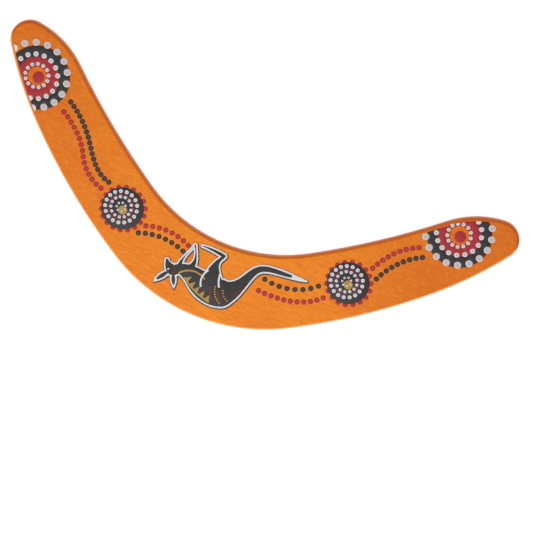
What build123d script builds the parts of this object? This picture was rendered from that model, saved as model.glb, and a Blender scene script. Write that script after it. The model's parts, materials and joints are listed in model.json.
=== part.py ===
from build123d import *
from math import cos, radians, sin
import os

# A souvenir returning boomerang of painted plywood. Millimetres. The underside lies on Z = 0,
# +X runs from tip to tip, +Y from the elbow towards the open side of the V, and +Z is the painted
# side. The origin is the centre of the finished outline, on the underside.

# --- Finished blank -------------------------------------------------------------------------
HALF_DEPTH = 78.68        # outer elbow to origin, which is half of the front-to-back size
THICKNESS = 6.4           # over the orange paint, without the raised decoration
TOP_ROUND = 2.4           # rounding of the top edge
BOTTOM_ROUND = 0.8        # easing of the bottom edge
BARE_EDGE = 2.5           # strip along the outline that stays orange, wider than the rounding
COAT = 0.2                # thickness of the orange paint
GLUE = 0.02               # glue line between veneers, and bond line under each layer of paint

# Half outline, from the outer elbow round the tip to the inner arm: radius, and sweep in degrees.
# A positive sweep turns left.
OUTLINE_ARCS = (
    (135, 31.0),          # outer elbow
    (480, 13.2),          # outer edge of the arm
    (300, 12.0),          # outer edge near the tip
    (14.5, 129.5),        # tip
    (68, 36.5),           # inner shoulder of the tip
    (600, -9.9),          # inner edge of the arm
)

# Veneers from the bottom up: name and thickness. The grain of the cross plies runs front to back.
PLIES = (
    ("bottom_face_ply", 1.0),
    ("lower_cross_ply", 1.3),
    ("core_ply", 1.4),
    ("upper_cross_ply", 1.3),
    ("top_face_ply", 1.0),
)

# --- Raised paint ---------------------------------------------------------------------------
FILM = 0.18               # height of a flat painted area
LINE = 0.22               # height of a painted line on a flat area
DOT = 0.45                # height of a dot on the orange paint
DOT_ROUND = 0.25          # rounding of a dot's top edge
GAP = 0.05                # clearance between neighbouring paints
FIRST_LAYER = THICKNESS + GLUE            # underside of what is painted on the orange
SECOND_LAYER = FIRST_LAYER + FILM + GLUE  # underside of what is painted on a flat area

# Targets on the tips
TARGET_BLACK = 23.6       # outer radius of the black band
TARGET_RED = 15.5         # outer radius of the red band
TARGET_HOLE = 7.0         # inner radius of the red band, where the orange shows
EYE_RADIUS = 4.3
# Rings of white dots: radius of the ring, radius of a dot, and number of dots
TARGET_RINGS = {
    "small": (8.65, 1.5, 13),
    "medium": (16.5, 1.95, 17),
    "large": (24.3, 2.65, 18),
}

# Rosettes on the arms. A black disc half covers a ring of red dots, and carries white dots.
ROSETTE_BLACK = 15.75
ROSETTE_RED_RING, ROSETTE_RED_DOT, ROSETTE_RED_COUNT, ROSETTE_RED_FIRST = 16.2, 1.9, 18, 3.5
# Rings of white dots: radius of the ring, radius of a dot, number of dots, and first angle
ROSETTE_RINGS = {
    "outer": (11.85, 1.55, 17, 6.6),
    "inner": (7.65, 1.27, 13, 5.0),
    "tiny": (3.3, 0.92, 7, 38.8),
}
RED_OFFSET = Vector(0.55, -0.1)           # centre of the red dots, from that of the black disc
WHITE_OFFSET = Vector(-1.4, 0.7)          # centre of the white rings, from that of the black disc
MAROON_RING, MAROON_WIDTH = 9.0, 2.4
OCHRE_RADIUS = 3.4
OCHRE_OFFSET = Vector(0.5, -1.1)          # centre of the ochre spot, from that of the black disc

TRAIL_DOT = 2.0           # radius of the dots in the trails

os.makedirs("parts", exist_ok=True)


def save(part, name):
    """Label a finished piece and write it as a STEP file."""
    part.label = name
    export_step(part, f"parts/{name}.step")


def ring_places(centre, radius, count, first_angle):
    """Evenly spaced points on a circle."""
    angles = [radians(first_angle + 360 / count * i) for i in range(count)]
    return [(centre[0] + radius * cos(a), centre[1] + radius * sin(a)) for a in angles]


def trail_places(points, count):
    """Evenly spaced points along a smooth line through the given ones."""
    line = Spline(*points)
    return [tuple(line @ (i / (count - 1)))[:2] for i in range(count)]


# --- Plywood and orange paint -----------------------------------------------------------------
with BuildSketch() as outline:
    with BuildLine():
        start, heading, turned = Vector(0, -HALF_DEPTH), Vector(1, 0), 0
        for radius, sweep in OUTLINE_ARCS:
            arc = JernArc(start=start, tangent=heading, radius=radius, arc_size=sweep)
            start, heading, turned = arc @ 1, arc % 1, turned + sweep
        # The inner elbow is centred on the axis of symmetry, so the halves meet without a kink.
        JernArc(start=start, tangent=heading, radius=-start.X / heading.Y, arc_size=180 - turned)
        mirror(about=Plane.YZ)
    make_face()

with BuildSketch() as flat_top:       # the part of the top that the targets may cover
    add(outline.sketch)
    offset(amount=-BARE_EDGE)


def rounded_blank(inset):
    """The finished shape, brought in by the same amount all over."""
    with BuildPart() as body:
        with BuildSketch(Plane.XY.offset(inset)):
            add(outline.sketch)
            if inset:
                offset(amount=-inset)
        extrude(amount=THICKNESS - 2 * inset)
        fillet(body.faces().sort_by(Axis.Z)[-1].edges(), radius=TOP_ROUND - inset)
        fillet(body.faces().sort_by(Axis.Z)[0].edges(), radius=BOTTOM_ROUND - inset)
    return body.part


finished = rounded_blank(0)
painted_surface = rounded_blank(COAT)
wood = rounded_blank(COAT + GLUE)

ply_bottom = COAT
for name, thickness in PLIES:
    with BuildPart() as ply:
        add(wood)
        split(bisect_by=Plane.XY.offset(ply_bottom + GLUE), keep=Keep.TOP)
        split(bisect_by=Plane.XY.offset(ply_bottom + thickness - GLUE), keep=Keep.BOTTOM)
    save(ply.part, name)
    ply_bottom += thickness

with BuildPart() as top_coat:
    add(finished)
    add(painted_surface, mode=Mode.SUBTRACT)
    split(bisect_by=Plane.XY.offset(COAT + GLUE), keep=Keep.TOP)
save(top_coat.part, "top_coat")

with BuildPart() as underside_coat:
    add(finished)
    split(bisect_by=Plane.XY.offset(COAT), keep=Keep.BOTTOM)
save(underside_coat.part, "underside_coat")


# --- Dots and flat areas ------------------------------------------------------------------------
def save_dots(name, places, radius, base=FIRST_LAYER, height=DOT, trimmed=False):
    """Round-edged dots of thick paint, each its own solid. Trimmed ones stop at the bare edge."""
    with BuildPart() as dots:
        with BuildSketch(Plane.XY.offset(base)):
            with Locations(*places):
                Circle(radius)
            if trimmed:
                add(flat_top.sketch, mode=Mode.INTERSECT)
        extrude(amount=height)
        if not trimmed:
            fillet(dots.faces().group_by(Axis.Z)[-1].edges(), radius=DOT_ROUND)
    save(dots.part, name)


def save_area(name, area, base=FIRST_LAYER, height=FILM):
    """A flat painted area."""
    with BuildPart() as film:
        with BuildSketch(Plane.XY.offset(base)):
            add(area)
        extrude(amount=height)
    save(film.part, name)


def leave_out(places, radius):
    """Cut a sketch clear of round marks that stand on the same surface."""
    with Locations(*places):
        Circle(radius + GAP, mode=Mode.SUBTRACT)


def target(side, bands, hole, eye, rings):
    """The target on a tip: black and red bands, a red eye, and three rings of white dots.

    The layers sit a little off each other. rings gives the centre and first angle of each ring.
    """
    dots = {}
    for ring, (centre, first_angle) in rings.items():
        ring_radius, dot_radius, count = TARGET_RINGS[ring]
        dots[ring] = (ring_places(centre, ring_radius, count, first_angle), dot_radius)

    with BuildSketch() as black:
        with Locations(bands):
            Circle(TARGET_BLACK)
        leave_out([bands], TARGET_RED)
        for places, dot_radius in dots.values():
            leave_out(places, dot_radius)
        add(flat_top.sketch, mode=Mode.INTERSECT)
    save_area(f"{side}_target_black_band", black.sketch)

    with BuildSketch() as red:
        with Locations(bands):
            Circle(TARGET_RED)
        leave_out([hole], TARGET_HOLE)
        for places, dot_radius in dots.values():
            leave_out(places, dot_radius)
        add(flat_top.sketch, mode=Mode.INTERSECT)
    save_area(f"{side}_target_red_band", red.sketch)

    with BuildSketch() as disc:
        with Locations(eye):
            Circle(EYE_RADIUS)
    save_area(f"{side}_target_red_eye", disc.sketch)

    for ring, (places, dot_radius) in dots.items():
        save_dots(f"{side}_target_{ring}_dots", places, dot_radius, trimmed=True)


target(
    "left",
    bands=(-169.4, 41.3),
    hole=(-170.2, 42.1),
    eye=(-169, 41.7),
    rings={
        "small": ((-170.7, 42.5), 23.2),
        "medium": ((-171.6, 41.5), 3.2),
        "large": ((-172.5, 42), 8.1),
    },
)
target(
    "right",
    bands=(157.4, 56),
    hole=(157.2, 56.3),
    eye=(158.1, 55.6),
    rings={
        "small": ((156.9, 56.4), 8.6),
        "medium": ((156.2, 57.9), 11.7),
        "large": ((155.9, 58.2), 10.9),
    },
)


def rosette(side, centre):
    """The rosette on an arm: red dots, a black disc, a maroon ring, an ochre spot and white dots."""
    red_centre = Vector(*centre) + RED_OFFSET
    white_centre = Vector(*centre) + WHITE_OFFSET
    dots = {}
    for ring, (ring_radius, dot_radius, count, first_angle) in ROSETTE_RINGS.items():
        dots[ring] = (ring_places(tuple(white_centre), ring_radius, count, first_angle), dot_radius)

    with BuildSketch() as disc:
        with Locations(centre):
            Circle(ROSETTE_BLACK)
    save_area(f"{side}_rosette_black_disc", disc.sketch)

    with BuildSketch() as petals:
        petal_places = ring_places(
            tuple(red_centre), ROSETTE_RED_RING, ROSETTE_RED_COUNT, ROSETTE_RED_FIRST
        )
        with Locations(*petal_places):
            Circle(ROSETTE_RED_DOT)
        leave_out([centre], ROSETTE_BLACK)
    save_area(f"{side}_rosette_red_dots", petals.sketch)

    with BuildSketch() as maroon:
        with Locations(white_centre):
            Circle(MAROON_RING + MAROON_WIDTH / 2)
            Circle(MAROON_RING - MAROON_WIDTH / 2, mode=Mode.SUBTRACT)
        for places, dot_radius in dots.values():
            leave_out(places, dot_radius)
    save_area(f"{side}_rosette_maroon_ring", maroon.sketch, SECOND_LAYER, LINE)

    with BuildSketch() as ochre:
        with Locations(Vector(*centre) + OCHRE_OFFSET):
            Circle(OCHRE_RADIUS)
        for places, dot_radius in dots.values():
            leave_out(places, dot_radius)
    save_area(f"{side}_rosette_ochre_centre", ochre.sketch, SECOND_LAYER, LINE)

    for ring, (places, dot_radius) in dots.items():
        save_dots(f"{side}_rosette_{ring}_dots", places, dot_radius, SECOND_LAYER)


rosette("left", centre=(-76.4, -24))
rosette("right", centre=(96.9, -9.2))

# Trails of dots: count, and points that the trail passes through from its left end
TRAILS = {
    "left_arm_black": (
        17,
        ((-140.7, 34.2), (-130.4, 26.8), (-119.1, 14.9), (-112.2, 5), (-103.9, -4.5), (-92.9, -10)),
    ),
    "left_arm_red": (
        15,
        ((-142.6, 25.3), (-131.1, 17.4), (-121.9, 7.9), (-115.1, -3.5), (-105.1, -13), (-96.7, -16.5)),
    ),
    "left_elbow_red": (8, ((-55.7, -29.4), (-41.1, -26.4), (-21.5, -30.4))),
    "left_elbow_black": (8, ((-58.9, -36.4), (-44.2, -32.9), (-23.6, -35.9))),
    "right_elbow_black": (8, ((39.8, -31.2), (57.3, -31.1), (68.3, -27.1), (77.8, -20.1))),
    "right_elbow_red": (11, ((38.8, -41), (62.8, -39), (71.8, -35.9), (84.4, -26.9))),
    "right_arm_red": (9, ((108.9, 8.3), (115.7, 20.3), (125.9, 31.2), (133.9, 36.1))),
    "right_arm_black": (9, ((114.5, 2), (121.3, 14.4), (130.7, 24.7), (139, 30.3))),
}
for name, (count, points) in TRAILS.items():
    save_dots(f"{name}_dots", trail_places(points, count), TRAIL_DOT)

# --- Kangaroo at the elbow --------------------------------------------------------------------
# Drawn upright in its own plane: +X towards the left tip, where it looks, and +Y towards the elbow.
KANGAROO = Plane(origin=(-0.3, 0.5, 0), x_dir=(-1, 0, 0), z_dir=(0, 0, 1))
BORDER = 0.6              # charcoal left outside the pale outline
OUTLINE_OFFSET = (0.35, -0.4)  # the pale outline sits a little off the charcoal body
STROKE = 1.2              # width of the pale outline
BAND = 1.3                # width of the ochre and maroon bands
TOOTH = 5.2               # height of the ochre teeth
TOOTH_ROOT = 2.0          # half width of a tooth at the band
MARK_DOT = 0.7            # radius of the ochre dots and the eye

# Each limb is a row of stations on its centre line: x, y and half width
LIMBS = {
    "torso": ((22, 50.5, 5), (14, 49.8, 7.6), (5, 52.5, 10.6), (-5, 55.2, 12.4), (-14, 55, 12.2)),
    "rump_and_tail": (
        (-12, 55.2, 12.2), (-19, 51.5, 10), (-24.5, 44.5, 6.6), (-28.8, 35, 4.8),
        (-34, 26.8, 4.1), (-44, 23.4, 3.6), (-57, 22.1, 2.9), (-69.4, 21, 1.2),
    ),
    "head": ((21.5, 52, 4.6), (26, 52.6, 5.6), (29.6, 49.6, 3.9), (31.2, 47.4, 2.7)),
    "front_ear": ((27, 55, 2.2), (30, 59.5, 3.3), (32.6, 63.4, 2.6), (34.2, 66.6, 0.9)),
    "back_ear": ((23, 55.5, 2.2), (21.4, 59.4, 3.2), (19.9, 62.6, 2.4), (18.6, 65.4, 0.9)),
    "thigh": ((-8, 52, 8), (-4, 43.5, 7), (-3.4, 36, 4), (-5.8, 29.5, 3)),
    "foot": ((-6.3, 28, 3.1), (-1, 27.3, 2.9), (5.5, 27, 2.5), (11, 27.2, 2.1)),
    "arm": ((14, 47, 4.6), (12, 40.5, 3.0), (13.6, 34, 2.2), (16.2, 29, 2.4)),
    "far_arm": ((21, 48, 3.6), (20.8, 42, 2.4), (18.6, 35.5, 1.9), (17, 30, 1.9)),
}
EYE = (28.2, 53)
THIGH_STROKES = (
    ((0.5, 42), (3, 49), (1, 56)),
    ((-8.5, 40.5), (-9.2, 46), (-11.5, 51)),
)
BACK_BAND = ((15, 54), (4.5, 60.4), (-9, 64.2))
BACK_TEETH = 5
CHEST_BAND = ((20, 53), (11, 47.2), (0.5, 49.5))
MAROON_BANDS = (
    ((-5.5, 51.5), (-8, 58.5), (-14.5, 63.8)),
    ((-11.5, 52.5), (-13, 56.5), (-19, 60.5)),
    ((-22.5, 54), (-25.2, 48.5), (-29, 40.5)),
    ((25.4, 56.6), (23.4, 52.4), (25.8, 48.8)),
)
OCHRE_ROWS = (
    (((-8.6, 51.5), (-10.6, 57), (-16, 62)), 8),
    (((-15, 52), (-16.6, 55), (-20.6, 58)), 5),
)


def limb_outline(stations, shrink):
    """The face of a limb: a smooth line along each side and a round end. It stops where it vanishes."""
    stations = [(Vector(x, y), width - shrink) for x, y, width in stations if width > shrink]
    centre_line = Spline(*[place for place, _ in stations])
    ahead = [centre_line.tangent_at(place) for place, _ in stations]
    aside = [direction.rotate(Axis.Z, 90) for direction in ahead]
    left = [place + side * width for (place, width), side in zip(stations, aside)]
    right = [place - side * width for (place, width), side in zip(stations, aside)]
    root = stations[0][0] - ahead[0] * stations[0][1]
    tip = stations[-1][0] + ahead[-1] * stations[-1][1]
    with BuildSketch() as face:
        with BuildLine():
            Spline(*left)
            ThreePointArc(left[-1], tip, right[-1])
            Spline(*right)
            ThreePointArc(right[0], root, left[0])
        make_face()
    return face.sketch


def silhouette(shrink):
    """The kangaroo, with every limb narrower by the same amount on each side."""
    with BuildSketch() as shape:
        for stations in LIMBS.values():
            add(limb_outline(stations, shrink))
    return shape.sketch


def band_along(points):
    """A line of paint of even width."""
    with BuildSketch() as band:
        trace(ThreePointArc(*points), line_width=BAND)
    return band.sketch


def teeth_places(points, count):
    """The middle of each of the teeth on an arc, and the arc's direction there."""
    line = ThreePointArc(*points)
    return [(line @ at, line % at) for at in [(i + 0.5) / count for i in range(count)]]


def save_on_kangaroo(name, area, base, height):
    """A painted area, given in the kangaroo's plane."""
    save_area(name, KANGAROO * area, base, height)


with BuildSketch() as pale_outline:
    with Locations(OUTLINE_OFFSET):
        add(silhouette(BORDER))
        add(silhouette(BORDER + STROKE), mode=Mode.SUBTRACT)
    for stroke in THIGH_STROKES:
        add(band_along(stroke))

with BuildSketch() as ochre_marks:
    add(band_along(BACK_BAND))
    for root, along in teeth_places(BACK_BAND, BACK_TEETH):
        tip = root + along.rotate(Axis.Z, 90) * TOOTH
        with BuildLine():
            Polyline(root - along * TOOTH_ROOT, root + along * TOOTH_ROOT, tip, close=True)
        make_face()
    add(band_along(CHEST_BAND))
    add(pale_outline.sketch, mode=Mode.SUBTRACT)

with BuildSketch() as maroon_marks:
    for points in MAROON_BANDS:
        add(band_along(points))
    add(pale_outline.sketch, mode=Mode.SUBTRACT)
    add(ochre_marks.sketch, mode=Mode.SUBTRACT)

with BuildSketch() as eye:
    with Locations(EYE):
        Circle(MARK_DOT)

save_on_kangaroo("kangaroo_body", silhouette(0), FIRST_LAYER, FILM)
save_on_kangaroo("kangaroo_outline", pale_outline.sketch, SECOND_LAYER, LINE)
save_on_kangaroo("kangaroo_ochre_marks", ochre_marks.sketch, SECOND_LAYER, LINE)
save_on_kangaroo("kangaroo_maroon_marks", maroon_marks.sketch, SECOND_LAYER, LINE)
save_on_kangaroo("kangaroo_eye", eye.sketch, SECOND_LAYER, LINE)
ochre_places = [place for points, count in OCHRE_ROWS for place in trail_places(points, count)]
ochre_places = [tuple(KANGAROO.from_local_coords(place))[:2] for place in ochre_places]
save_dots("kangaroo_ochre_dots", ochre_places, MARK_DOT, SECOND_LAYER)
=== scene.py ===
import json
import math
import random

import bmesh
import bpy
from mathutils import Matrix, Vector


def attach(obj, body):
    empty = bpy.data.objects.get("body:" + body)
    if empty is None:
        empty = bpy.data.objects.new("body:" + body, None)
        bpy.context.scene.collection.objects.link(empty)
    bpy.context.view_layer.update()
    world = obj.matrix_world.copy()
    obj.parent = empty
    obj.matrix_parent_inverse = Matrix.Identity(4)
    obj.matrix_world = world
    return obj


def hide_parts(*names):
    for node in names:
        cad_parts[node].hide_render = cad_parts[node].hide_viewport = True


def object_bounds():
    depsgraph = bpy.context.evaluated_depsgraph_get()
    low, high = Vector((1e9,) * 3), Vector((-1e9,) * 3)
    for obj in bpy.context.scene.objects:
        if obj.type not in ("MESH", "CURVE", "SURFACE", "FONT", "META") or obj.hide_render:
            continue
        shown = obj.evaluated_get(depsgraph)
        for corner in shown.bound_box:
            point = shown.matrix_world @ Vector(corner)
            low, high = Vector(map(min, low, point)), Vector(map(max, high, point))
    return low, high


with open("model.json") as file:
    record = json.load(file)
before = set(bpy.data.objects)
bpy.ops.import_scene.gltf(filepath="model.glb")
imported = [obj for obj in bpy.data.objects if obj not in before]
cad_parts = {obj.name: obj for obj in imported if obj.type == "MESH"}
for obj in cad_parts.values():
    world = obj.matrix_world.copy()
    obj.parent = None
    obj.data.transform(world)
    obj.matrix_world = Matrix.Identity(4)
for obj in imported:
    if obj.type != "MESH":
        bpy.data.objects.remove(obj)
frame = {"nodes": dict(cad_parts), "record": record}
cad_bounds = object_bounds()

random.seed(11)

MM = 0.001
CAD_NODES = frame["nodes"]
SLOTS = {part["node"]: part["material_slot"] for part in frame["record"]["subparts"]}
PAINTED_DOT_LIGHT = "painted_dot_light"           # attribute: how much painted highlight (painted shade on white paint) shows in a dot's middle, 0 off the dots


# --- Node trees --------------------------------------------------------------------------------
MIX_COLOURS = 6, 7          # a Mix node's colour inputs: other inputs have the same names
MIX_RESULT = 2              # and its colour output
RAMP_INPUTS = slice(1, 5)   # a Map Range node's two ends to map from, then the two to map to
MIDDLE = 0.3, 0.7           # the part of its range that most of a noise lies in


class Nodes:
    """A material's node tree, with short calls that add and link nodes."""

    def __init__(self, name):
        self.material = bpy.data.materials.new(name)
        self.material.use_nodes = True
        self.tree = self.material.node_tree
        self.shader = self.tree.nodes["Principled BSDF"]

    def add(self, kind, **settings):
        """A new node. Settings name its inputs or its own properties."""
        node = self.tree.nodes.new(kind)
        for key, value in settings.items():
            if key in node.inputs:
                node.inputs[key].default_value = value
            else:
                setattr(node, key, value)
        return node

    def feed(self, value, target):
        """Gives an input a plain value, or links a socket to it."""
        if isinstance(value, bpy.types.NodeSocket):
            self.tree.links.new(value, target)
        else:
            target.default_value = value

    def shade(self, **values):
        """Feeds the shader's inputs. A key has _ for each space in the input's name."""
        for key, value in values.items():
            self.feed(value, self.shader.inputs[key.replace("_", " ")])

    def place(self, scale, shift=(0, 0, 0)):
        """Object coordinates, scaled by axis, in 1/m."""
        coordinates = self.add("ShaderNodeTexCoord")
        mapping = self.add("ShaderNodeMapping", Location=shift, Scale=scale)
        self.feed(coordinates.outputs["Object"], mapping.inputs["Vector"])
        return mapping.outputs["Vector"]

    def noise(self, scale, shift=(0, 0, 0), detail=3, roughness=0.5, distortion=0.0):
        """Noise between 0 and 1."""
        node = self.add(
            "ShaderNodeTexNoise",
            Scale=1.0,
            Detail=detail,
            Roughness=roughness,
            Distortion=distortion,
        )
        self.feed(self.place(scale, shift), node.inputs["Vector"])
        return node.outputs["Fac"]

    def axes(self, vector):
        """The sockets X, Y and Z of a vector."""
        node = self.add("ShaderNodeSeparateXYZ")
        self.feed(vector, node.inputs["Vector"])
        return node.outputs

    def ramp(self, value, low, high, out_low=0.0, out_high=1.0):
        """Maps low..high of value smoothly to out_low..out_high. Low may be the larger."""
        node = self.add("ShaderNodeMapRange", interpolation_type="SMOOTHSTEP")
        self.feed(value, node.inputs["Value"])
        for target, number in zip(node.inputs[RAMP_INPUTS], (low, high, out_low, out_high)):
            target.default_value = number
        return node.outputs["Result"]

    def math(self, operation, first, second=0.0):
        """A sum, product or other operation on values or sockets."""
        node = self.add("ShaderNodeMath", operation=operation)
        self.feed(first, node.inputs[0])
        self.feed(second, node.inputs[1])
        return node.outputs[0]

    def mix(self, factor, first, second):
        """A mix of two colours, given as sockets or as linear RGBA."""
        node = self.add("ShaderNodeMix", data_type="RGBA")
        self.feed(factor, node.inputs["Factor"])
        for index, colour in zip(MIX_COLOURS, (first, second)):
            self.feed(colour, node.inputs[index])
        return node.outputs[MIX_RESULT]

    def bump(self, height, distance, strength=1.0):
        """Relief that the shader's normal follows."""
        node = self.add("ShaderNodeBump", Distance=distance, Strength=strength)
        self.feed(height, node.inputs["Height"])
        self.shade(Normal=node.outputs["Normal"])


def linear(red, green, blue):
    """Linear RGBA of an 8-bit sRGB colour."""
    def channel(value):
        value /= 255
        return value / 12.92 if value <= 0.04045 else ((value + 0.055) / 1.055) ** 2.4
    return channel(red), channel(green), channel(blue), 1


def grey(level):
    return level, level, level, 1


# --- Materials ---------------------------------------------------------------------------------
# Painted shade: the orange is lighter at the elbow and darker and redder towards the tips, where
# less light falls.
LIT_ELBOW_ORANGES = linear(225, 122, 9), linear(232, 133, 16)
SHADED_TIP_ORANGES = linear(208, 102, 5), linear(217, 112, 8)
TIP_SHADE_SPAN = 40 * MM, 180 * MM   # from the axis: where the painted shade towards the tips starts, and where it is full
MOTTLE_ORANGE = linear(238, 146, 40)
GRAIN_ORANGE = linear(203, 93, 7)
PORE_ORANGE = linear(184, 78, 8)
PORE_DEPTH = 0.42               # how much of their shade the pores take
# Light and shade are painted on the rounded edges, by which way the surface faces. On the inner
# side of the V the rounding is darkened with painted shade, and the steeper part below it is paler
# and pinker, a painted reflection of the pale floor. The outer side's rounding carries a painted
# highlight. Each row: side, Z of the normal where the shade starts and where it is full, its share
# there, and the shade.
PAINTED_ROUNDING_LIGHT = (
    # painted shade along the inner rounding
    ("inner", 0.998, 0.95, 0.55, linear(188, 78, 16)),
    # painted reflection of the pale floor, paler and pinker
    ("inner", 0.8, 0.45, 0.7, linear(216, 118, 62)),
    # painted highlight along the outer rounding
    ("outer", 0.99, 0.75, 0.85, linear(242, 192, 142)),
)
SIDE_FACING = 0.12              # Y of the normal from which a side counts in full
WALL_RISE = 0.35, 0.05          # size of the normal's Z where the painted reflection on the wall starts, and is full
WALL_SHARE = 0.6
PAINTED_WALL_REFLECTION = linear(206, 138, 108)

# For each slot: name, light shade, dark shade, colour of a dot's middle (a painted highlight,
# painted shade on the white), roughness, mottles in 1/m.
ACRYLICS = {
    "black_paint": ("charcoal acrylic", (52, 47, 48), (36, 33, 34), (66, 62, 62), 0.5, 900),
    "red_paint": ("crimson acrylic", (171, 39, 47), (151, 32, 39), (178, 52, 58), 0.5, 900),
    "white_paint": ("white acrylic", (220, 217, 217), (198, 196, 198), (160, 158, 163), 0.45, 1400),
    "ochre_paint": ("ochre acrylic", (178, 142, 66), (156, 120, 48), (190, 156, 84), 0.5, 900),
    "maroon_paint": ("maroon acrylic", (100, 47, 51), (82, 38, 43), (110, 58, 60), 0.5, 900),
}

VENEER_SHADES = linear(222, 190, 146), linear(182, 140, 94)
ALONG_GRAIN, ACROSS_GRAIN = 60, 1400    # 1/m


def orange_paint():
    """Satin orange paint over the veneer's grain and pores, which run from tip to tip, with painted
    shade, painted highlight and painted reflection.
    """
    nodes = Nodes("orange paint on veneer")
    blotch = nodes.noise((16, 26, 16), detail=4, roughness=0.6)
    mottle = nodes.noise((260, 420, 260), shift=(7, 1, 0), detail=4, roughness=0.7)
    grain = nodes.noise((90, 800, 300), shift=(3, 0, 0), detail=5, roughness=0.65, distortion=0.4)
    pores = nodes.ramp(nodes.noise((300, 1700, 1500), shift=(0, 9, 0), detail=2), 0.6, 0.7)
    streaks = nodes.noise((120, 2200, 900), shift=(5, 2, 0))

    from_axis = nodes.math("ABSOLUTE", nodes.axes(nodes.place((1, 1, 1)))["X"])
    # Painted shade: darker and redder towards the tips.
    elbow = nodes.mix(nodes.ramp(blotch, *MIDDLE), *LIT_ELBOW_ORANGES)
    tips = nodes.mix(nodes.ramp(blotch, *MIDDLE), *SHADED_TIP_ORANGES)
    body = nodes.mix(nodes.ramp(from_axis, *TIP_SHADE_SPAN), elbow, tips)
    body = nodes.mix(nodes.ramp(mottle, 0.45, 0.75, 0.0, 0.45), body, MOTTLE_ORANGE)
    body = nodes.mix(nodes.ramp(grain, 0.4, 0.68, 0.0, 0.5), body, GRAIN_ORANGE)
    body = nodes.mix(nodes.math("MULTIPLY", pores, PORE_DEPTH), body, PORE_ORANGE)

    normal = nodes.axes(nodes.add("ShaderNodeNewGeometry").outputs["Normal"])
    sides = {
        "inner": nodes.ramp(normal["Y"], 0.0, SIDE_FACING),
        "outer": nodes.ramp(normal["Y"], 0.0, -SIDE_FACING),
    }
    # Painted light and shade on the rounded edges, by which way they face.
    for side, start, full, share, shade in PAINTED_ROUNDING_LIGHT:
        steepness = nodes.ramp(normal["Z"], start, full, 0.0, share)
        body = nodes.mix(nodes.math("MULTIPLY", steepness, sides[side]), body, shade)
    # Painted reflection: the upright walls all round are paler and pinker, standing in for light
    # from the pale floor.
    wall = nodes.ramp(nodes.math("ABSOLUTE", normal["Z"]), *WALL_RISE, 0.0, WALL_SHARE)
    body = nodes.mix(wall, body, PAINTED_WALL_REFLECTION)

    relief = nodes.math("MULTIPLY", grain, 0.6)
    relief = nodes.math("SUBTRACT", relief, nodes.math("MULTIPLY", pores, 0.5))
    relief = nodes.math("ADD", relief, nodes.math("MULTIPLY", streaks, 0.25))
    nodes.bump(relief, 0.12 * MM, strength=0.6)
    satin = nodes.ramp(streaks, *MIDDLE, 0.5, 0.62)
    nodes.shade(Base_Color=body, Roughness=satin, Specular_IOR_Level=0.2)
    return nodes.material


def acrylic(name, light, dark, middle, roughness, coarse):
    """Thick acrylic paint, mottled and brushed, with a painted highlight in a dot's dimpled middle
    (painted shade on white paint).
    """
    nodes = Nodes(name)
    dark = linear(*dark)
    mottle = nodes.noise((coarse, coarse * 2.2, coarse), detail=4, roughness=0.6)
    brushed = nodes.noise((2600, 6500, 2600), shift=(1, 4, 0))
    body = nodes.mix(nodes.ramp(mottle, 0.25, 0.75), dark, linear(*light))
    body = nodes.mix(nodes.ramp(brushed, 0.55, 0.75, 0.0, 0.35), body, dark)
    painted_dot_light = nodes.add("ShaderNodeAttribute", attribute_name=PAINTED_DOT_LIGHT)
    # Painted light: a highlight in a dot's middle, painted shade there on white paint.
    body = nodes.mix(painted_dot_light.outputs["Fac"], body, linear(*middle))
    uneven = nodes.ramp(mottle, *MIDDLE, roughness - 0.06, roughness + 0.08)
    nodes.shade(Base_Color=body, Roughness=uneven, Specular_IOR_Level=0.25)
    relief = nodes.math("ADD", mottle, nodes.math("MULTIPLY", brushed, 0.5))
    nodes.bump(relief, 0.06 * MM, strength=0.6)
    return nodes.material


def veneer(name, along_x):
    """Bare wood, with its grain along X or along Y."""
    nodes = Nodes(name)
    x_scale, y_scale = (ALONG_GRAIN, ACROSS_GRAIN) if along_x else (ACROSS_GRAIN, ALONG_GRAIN)
    grain = nodes.noise((x_scale, y_scale, ACROSS_GRAIN), detail=5, roughness=0.6, distortion=0.5)
    body = nodes.mix(nodes.ramp(grain, 0.35, 0.7), *VENEER_SHADES)
    nodes.shade(Base_Color=body, Roughness=nodes.ramp(grain, *MIDDLE, 0.6, 0.75))
    nodes.bump(grain, 0.05 * MM)
    return nodes.material


MATERIALS = {
    "orange_paint": orange_paint(),
    "face_veneer": veneer("veneer along", True),
    "cross_veneer": veneer("veneer across", False),
    **{slot: acrylic(*paint) for slot, paint in ACRYLICS.items()},
}


# --- Raised paint ------------------------------------------------------------------------------
# A dot's profile from its foot to its middle, which sinks as it dries: share of its radius, share
# of its height, and how much of the middle's painted highlight (painted shade on white paint) shows
# on a small dot and on a large one.
DOT_PROFILE = (
    (1.0, 0.0, 0, 0), (1.0, 0.35, 0, 0), (0.95, 0.68, 0, 0), (0.84, 0.92, 0, 0.12),
    (0.72, 1.0, 0, 0.5), (0.56, 0.97, 0.05, 0.66), (0.4, 0.84, 0.45, 0.6), (0.2, 0.76, 1, 0.72),
)
DOT_MIDDLE = 0.74               # share of the height left at the very middle
DOT_SIDES = 28
LARGE_DOT = 2.3 * MM            # radius over which a dot is a large one
MEAN_REACH = 0.97               # share of the radius that the outline varies about
LOBES = 2, 3, 5                 # how many times each wave goes round the outline
LOBE_REACH = 0.03               # the most that a wave adds, times how often it goes round
SINK_SPREAD = 0.85, 1.15        # how deep a dot sinks, as a share of the profile's depth
SINKING_SHARE = 0.6             # of the radius, inside which the depth varies
WHOLE_DOT = 0.98                # share of the widest dot, under which a dot has been cut

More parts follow.
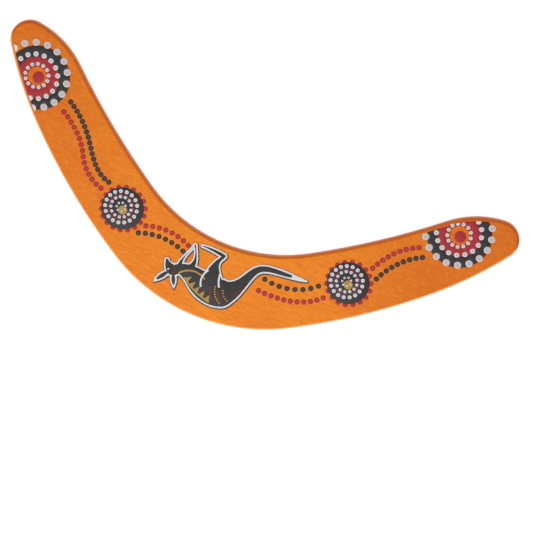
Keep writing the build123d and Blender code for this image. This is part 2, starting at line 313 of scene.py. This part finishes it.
EDGE_BEVEL = 0.07 * MM
BEVEL_SHARES = 1, 0.5, 0.25, 0.1    # of EDGE_BEVEL, tried in this order
VOLUME_CHANGE = 0.03            # the most that a bevel may take, as a share of the volume
SAME_PLACE = 0.001 * MM         # points this near each other are one
TOP_BAND = 0.01 * MM            # edges this near the top belong to it
FLAT_ANGLE = math.radians(0.5)      # faces that meet at less are merged
SHARP_ANGLE = math.radians(50)      # edges over this are softened
SMOOTH_ANGLE = math.radians(40)     # edges under this are shaded smooth


def welded(node):
    """A copy of a CAD node's mesh with its seams closed."""
    shape = bmesh.new()
    shape.from_mesh(CAD_NODES[node].data)
    bmesh.ops.remove_doubles(shape, verts=shape.verts, dist=SAME_PLACE)
    shape.verts.layers.float.new(PAINTED_DOT_LIGHT)
    return shape


def islands(shape):
    """The separate solids in a mesh, each as its list of vertices."""
    found, seen = [], set()
    for start in shape.verts:
        if start in seen:
            continue
        stack, island = [start], []
        seen.add(start)
        while stack:
            vertex = stack.pop()
            island.append(vertex)
            for edge in vertex.link_edges:
                other = edge.other_vert(vertex)
                if other not in seen:
                    seen.add(other)
                    stack.append(other)
        found.append(island)
    return found


def extent(island):
    """Lowest and highest corner of a list of vertices."""
    low = Vector(min(v.co[i] for v in island) for i in range(3))
    high = Vector(max(v.co[i] for v in island) for i in range(3))
    return low, high


def add_dot(shape, centre, radius, base, height):
    """A dried drop of paint: not quite round, with a soft shoulder, a middle that has sunk, and a
    painted highlight there (painted shade on white paint).
    """
    painted_dot_light = shape.verts.layers.float[PAINTED_DOT_LIGHT]
    lobes = [(k, random.uniform(0, math.tau), random.uniform(0, LOBE_REACH / k)) for k in LOBES]
    depth = random.uniform(*SINK_SPREAD)
    rings = []
    for share, rise, shown_small, shown_large in DOT_PROFILE:
        lift = height * (1 - (1 - rise) * (depth if share < SINKING_SHARE else 1))
        ring = []
        for i in range(DOT_SIDES):
            turn = math.tau * i / DOT_SIDES
            waves = sum(size * math.cos(k * turn + phase) for k, phase, size in lobes)
            reach = radius * share * (MEAN_REACH + waves)
            x, y = centre.x + reach * math.cos(turn), centre.y + reach * math.sin(turn)
            ring.append(shape.verts.new((x, y, base + lift)))
            # share of the middle's painted highlight, painted shade on white paint, on this ring
            ring[-1][painted_dot_light] = shown_large if radius > LARGE_DOT else shown_small
        rings.append(ring)
    middle = shape.verts.new((centre.x, centre.y, base + height * (1 - (1 - DOT_MIDDLE) * depth)))
    middle[painted_dot_light] = rings[-1][0][painted_dot_light]
    for lower, upper in zip(rings, rings[1:]):
        for i in range(DOT_SIDES):
            j = (i + 1) % DOT_SIDES
            shape.faces.new((lower[i], lower[j], upper[j], upper[i]))
    for i in range(DOT_SIDES):
        shape.faces.new((rings[-1][i], rings[-1][(i + 1) % DOT_SIDES], middle))
    shape.faces.new(reversed(rings[0]))


def refill(shape, level, up):
    """Fills the flat faces at a height afresh, with triangles, so that their holes stay open."""
    flat = [f for f in shape.faces if all(abs(v.co.z - level) < SAME_PLACE for v in f.verts)]
    inside = set(flat)
    rim = [e for e in shape.edges if sum(f in inside for f in e.link_faces) == 1]
    bmesh.ops.delete(shape, geom=flat, context="FACES")
    bmesh.ops.triangle_fill(shape, edges=rim, use_beauty=True, normal=(0, 0, up))


def soften(shape, bevel):
    """Merges the flat faces, rounds the top edges and fills the top and the bottom afresh."""
    bmesh.ops.dissolve_limit(shape, angle_limit=FLAT_ANGLE, verts=shape.verts, edges=shape.edges)
    top = max(v.co.z for v in shape.verts)
    sharp = [
        e for e in shape.edges
        if len(e.link_faces) == 2 and e.calc_face_angle() > SHARP_ANGLE
        and min(v.co.z for v in e.verts) > top - TOP_BAND
    ]
    bmesh.ops.bevel(
        shape, geom=sharp, offset=bevel, segments=3, profile=0.5, affect="EDGES", clamp_overlap=True
    )
    refill(shape, top, 1)
    refill(shape, min(v.co.z for v in shape.verts), -1)


def finish_piece(shape, node):
    """Turns a mesh into a shown piece that stands for a CAD node."""
    bmesh.ops.recalc_face_normals(shape, faces=shape.faces)
    mesh = bpy.data.meshes.new("paint_" + node)
    shape.to_mesh(mesh)
    shape.free()
    mesh.shade_smooth()
    mesh.set_sharp_from_angle(angle=SMOOTH_ANGLE)
    mesh.materials.append(MATERIALS[SLOTS[node]])
    piece = bpy.data.objects.new("paint_" + node, mesh)
    bpy.context.scene.collection.objects.link(piece)
    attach(piece, "root")
    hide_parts(node)


def paint_dots(node):
    """Stands for a node of dots. A dot cut by the edge of the flat keeps its outline."""
    shape = welded(node)
    solids = islands(shape)
    boxes = [extent(island) for island in solids]
    full = max(high.x - low.x for low, high in boxes)
    whole = [min((high - low).xy) > WHOLE_DOT * full for low, high in boxes]
    redrawn = [v for island, is_whole in zip(solids, whole) if is_whole for v in island]
    bmesh.ops.delete(shape, geom=redrawn, context="VERTS")
    if shape.verts:
        soften(shape, 2 * EDGE_BEVEL)
    for (low, high), is_whole in zip(boxes, whole):
        if is_whole:
            add_dot(shape, (low + high) / 2, full / 2, low.z, high.z - low.z)
    finish_piece(shape, node)


def paint_area(node):
    """Stands for a flat area or a line. Its narrowest part may need a narrower bevel."""
    for share in BEVEL_SHARES:
        shape = welded(node)
        volume = shape.calc_volume()
        soften(shape, EDGE_BEVEL * share)
        closed = all(len(e.link_faces) == 2 for e in shape.edges)
        if closed and abs(shape.calc_volume() - volume) < VOLUME_CHANGE * volume:
            break
    finish_piece(shape, node)


DOT_NODES = [
    n for n in sorted(CAD_NODES)
    if n.endswith("_dots") and not n.endswith("rosette_red_dots")
]
AREA_NODES = [n for n in sorted(CAD_NODES) if SLOTS[n] in ACRYLICS and n not in DOT_NODES]
for node in DOT_NODES:
    paint_dots(node)
for node in AREA_NODES:
    paint_area(node)
for node, cad in CAD_NODES.items():
    cad.data.materials.clear()
    cad.data.materials.append(MATERIALS[SLOTS[node]])


# --- Floor, light and camera -------------------------------------------------------------------
FLOOR_SIZE = 6.0
FLOOR_GREYS = grey(0.24), grey(0.28)
FLOOR_GLOW = 0.85
WORLD_GLOW = 0.5
SOFT_BOXES = (                  # name, place, diameter, power in W
    ("key", (-0.02, -0.75, 1.0), 0.8, 10.7),
    ("fill", (0.5, 0.9, 1.4), 1.2, 3),
)

TILT = math.radians(14.5)       # of the view from straight down, towards the open side of the V
ROLL = math.radians(23.1)       # +X points this far below the picture's right
VIEW_WIDTH = 0.39               # what the picture's width covers, at the painted face
AIM = Vector((37.2 * MM, -21.6 * MM, cad_bounds[1].z))
LENS, SENSOR = 200, 36          # mm
CLIP = 0.05, 50                 # nearest and farthest that it shows


def floor_material():
    """Pale and matt, with a glow that keeps the shadows on it faint."""
    nodes = Nodes("pale floor")
    nodes.shade(
        Base_Color=nodes.mix(nodes.noise((40, 40, 40)), *FLOOR_GREYS),
        Roughness=0.9,
        Specular_IOR_Level=0.1,
        Emission_Color=grey(1),
        Emission_Strength=FLOOR_GLOW,
    )
    return nodes.material


def add_floor():
    half, base = FLOOR_SIZE / 2, cad_bounds[0].z
    corners = [(-half, -half, base), (half, -half, base), (half, half, base), (-half, half, base)]
    mesh = bpy.data.meshes.new("floor")
    mesh.from_pydata(corners, [], [(0, 1, 2, 3)])
    mesh.materials.append(floor_material())
    floor = bpy.data.objects.new("floor", mesh)
    bpy.context.scene.collection.objects.link(floor)


def add_soft_box(name, place, size, power):
    """A round soft box that looks at the object."""
    light = bpy.data.lights.new(name, "AREA")
    light.shape, light.size, light.energy = "DISK", size, power
    lamp = bpy.data.objects.new(name, light)
    lamp.location = place
    lamp.rotation_mode = "QUATERNION"
    lamp.rotation_quaternion = (-Vector(place)).to_track_quat("-Z", "Y")
    bpy.context.scene.collection.objects.link(lamp)


def add_world():
    world = bpy.data.worlds.new("studio")
    world.use_nodes = True
    background = world.node_tree.nodes["Background"]
    background.inputs["Color"].default_value = grey(1)
    background.inputs["Strength"].default_value = WORLD_GLOW
    bpy.context.scene.world = world


def add_camera():
    """A long lens above the middle of the view, tilted and rolled."""
    camera = bpy.data.cameras.new("camera")
    camera.lens, camera.sensor_width = LENS, SENSOR
    camera.clip_start, camera.clip_end = CLIP
    back = Vector((0, math.sin(TILT), math.cos(TILT)))
    level = Vector((1, 0, 0))
    right = level * math.cos(ROLL) + back.cross(level) * math.sin(ROLL)
    axes = Matrix((right, back.cross(right), back)).transposed().to_4x4()
    holder = bpy.data.objects.new("camera", camera)
    distance = VIEW_WIDTH * LENS / SENSOR
    holder.matrix_world = Matrix.Translation(AIM + back * distance) @ axes
    bpy.context.scene.collection.objects.link(holder)
    bpy.context.scene.camera = holder


add_floor()
add_world()
for soft_box in SOFT_BOXES:
    add_soft_box(*soft_box)
add_camera()
bpy.context.scene.view_settings.view_transform = "Standard"
